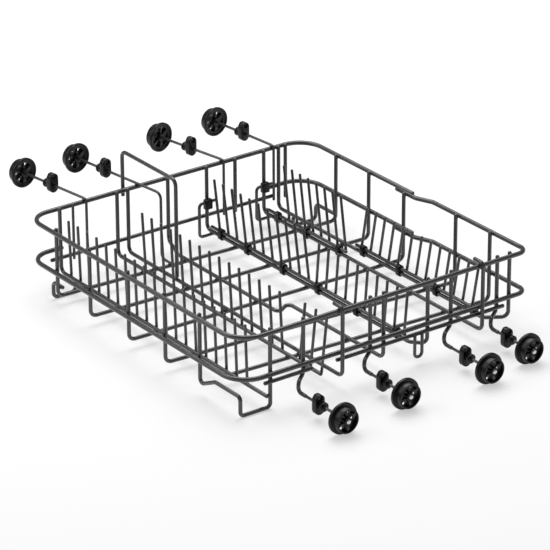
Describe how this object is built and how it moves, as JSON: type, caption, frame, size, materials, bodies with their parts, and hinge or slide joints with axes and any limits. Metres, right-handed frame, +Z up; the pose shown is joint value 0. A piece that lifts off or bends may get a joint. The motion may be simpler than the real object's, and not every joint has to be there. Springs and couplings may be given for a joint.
{
  "type": "dishwasher basket",
  "caption": "Lower dishwasher basket of coated wire with rims, fixed and folding tine rows, wire feet, a hoop, and plastic wheels on long axles at both sides.",
  "frame": {"origin": "on the ground under the middle of the basket, between the rim lines of its four sides", "axes": "+X from the far side to the near side along the axles, +Y from front to back, +Z up"},
  "size_m": [0.7482, 0.4794, 0.1692],
  "materials": {
    "coated_wire": "satin grey coating",
    "rack_wire": "satin grey coating",
    "axle_wire": "satin grey coating",
    "clip_plastic": "moulded",
    "wheel_plastic": "moulded"
  },
  "bodies": {
    "basket": {"top_rim": "coated_wire", "lower_rim": "coated_wire", "lower_rim_corner": "coated_wire", "short_floor_wire": "coated_wire", "front_row_wire": "coated_wire", "second_row_front_wire": "coated_wire", "second_row_rear_wire": "coated_wire", "middle_wire": "coated_wire", "third_row_wire": "coated_wire", "fourth_row_wire": "coated_wire", "fifth_row_wire": "coated_wire", "far_rim_hoop": "coated_wire", "far_side_uprights": "coated_wire", "far_side_rail": "coated_wire", "near_side_rails": "coated_wire", "near_side_loop": "coated_wire", "near_front_foot": "coated_wire", "far_front_foot": "coated_wire", "far_rear_foot": "coated_wire", "front_row_tines": "coated_wire", "second_row_tines": "coated_wire", "floor_wire_1": "coated_wire", "floor_wire_2": "coated_wire", "floor_wire_3": "coated_wire", "floor_wire_4": "coated_wire", "third_row_clips": "clip_plastic", "fourth_row_clips": "clip_plastic", "fifth_row_clips": "clip_plastic", "third_row_latch_loop": "coated_wire", "fourth_row_latch_loop": "coated_wire", "third_row_latch_block": "clip_plastic", "fourth_row_latch_block": "clip_plastic", "near_axle_1": "axle_wire", "near_axle_clip_1": "clip_plastic", "near_axle_2": "axle_wire", "near_axle_clip_2": "clip_plastic", "near_axle_3": "axle_wire", "near_axle_clip_3": "clip_plastic", "near_axle_4": "axle_wire", "near_axle_clip_4": "clip_plastic", "far_axle_1": "axle_wire", "far_axle_clip_1": "clip_plastic", "far_axle_2": "axle_wire", "far_axle_clip_2": "clip_plastic", "far_axle_3": "axle_wire", "far_axle_clip_3": "clip_plastic", "far_axle_4": "axle_wire", "far_axle_clip_4": "clip_plastic"},
    "third_row_rack": {"third_row_rack": "rack_wire"},
    "fourth_row_rack": {"fourth_row_rack": "rack_wire"},
    "fifth_row_rack": {"fifth_row_rack": "rack_wire"},
    "near_wheel_1": {"near_wheel_1": "wheel_plastic"},
    "near_wheel_2": {"near_wheel_2": "wheel_plastic"},
    "near_wheel_3": {"near_wheel_3": "wheel_plastic"},
    "near_wheel_4": {"near_wheel_4": "wheel_plastic"},
    "far_wheel_1": {"far_wheel_1": "wheel_plastic"},
    "far_wheel_2": {"far_wheel_2": "wheel_plastic"},
    "far_wheel_3": {"far_wheel_3": "wheel_plastic"},
    "far_wheel_4": {"far_wheel_4": "wheel_plastic"}
  },
  "joints": [
    {"name": "third_row_fold", "type": "hinge", "parent": "basket", "child": "third_row_rack", "pos_m": [0, 0.057, 0.026], "axis": [1, 0, 0], "range_deg": [0, 88]},
    {"name": "fourth_row_fold", "type": "hinge", "parent": "basket", "child": "fourth_row_rack", "pos_m": [0, 0.156, 0.026], "axis": [1, 0, 0], "range_deg": [0, 88]},
    {"name": "fifth_row_fold", "type": "hinge", "parent": "basket", "child": "fifth_row_rack", "pos_m": [0, 0.182, 0.026], "axis": [1, 0, 0], "range_deg": [0, 88]},
    {"name": "near_wheel_1_spin", "type": "hinge", "parent": "basket", "child": "near_wheel_1", "pos_m": [0.348, -0.151, 0.0215], "axis": [1, 0, 0], "continuous": true},
    {"name": "near_wheel_2_spin", "type": "hinge", "parent": "basket", "child": "near_wheel_2", "pos_m": [0.34, -0.045, 0.0215], "axis": [1, 0, 0], "continuous": true},
    {"name": "near_wheel_3_spin", "type": "hinge", "parent": "basket", "child": "near_wheel_3", "pos_m": [0.347, 0.087, 0.0215], "axis": [1, 0, 0], "continuous": true},
    {"name": "near_wheel_4_spin", "type": "hinge", "parent": "basket", "child": "near_wheel_4", "pos_m": [0.332, 0.166, 0.0215], "axis": [1, 0, 0], "continuous": true},
    {"name": "far_wheel_1_spin", "type": "hinge", "parent": "basket", "child": "far_wheel_1", "pos_m": [-0.367, -0.162, 0.1158], "axis": [-0.9902, -0.14, 0], "continuous": true},
    {"name": "far_wheel_2_spin", "type": "hinge", "parent": "basket", "child": "far_wheel_2", "pos_m": [-0.367, -0.0735, 0.1158], "axis": [-0.9916, -0.1297, 0], "continuous": true},
    {"name": "far_wheel_3_spin", "type": "hinge", "parent": "basket", "child": "far_wheel_3", "pos_m": [-0.36, 0.0645, 0.1158], "axis": [-0.983, -0.1838, 0], "continuous": true},
    {"name": "far_wheel_4_spin", "type": "hinge", "parent": "basket", "child": "far_wheel_4", "pos_m": [-0.361, 0.161, 0.1158], "axis": [-0.9943, -0.1066, 0], "continuous": true}
  ]
}
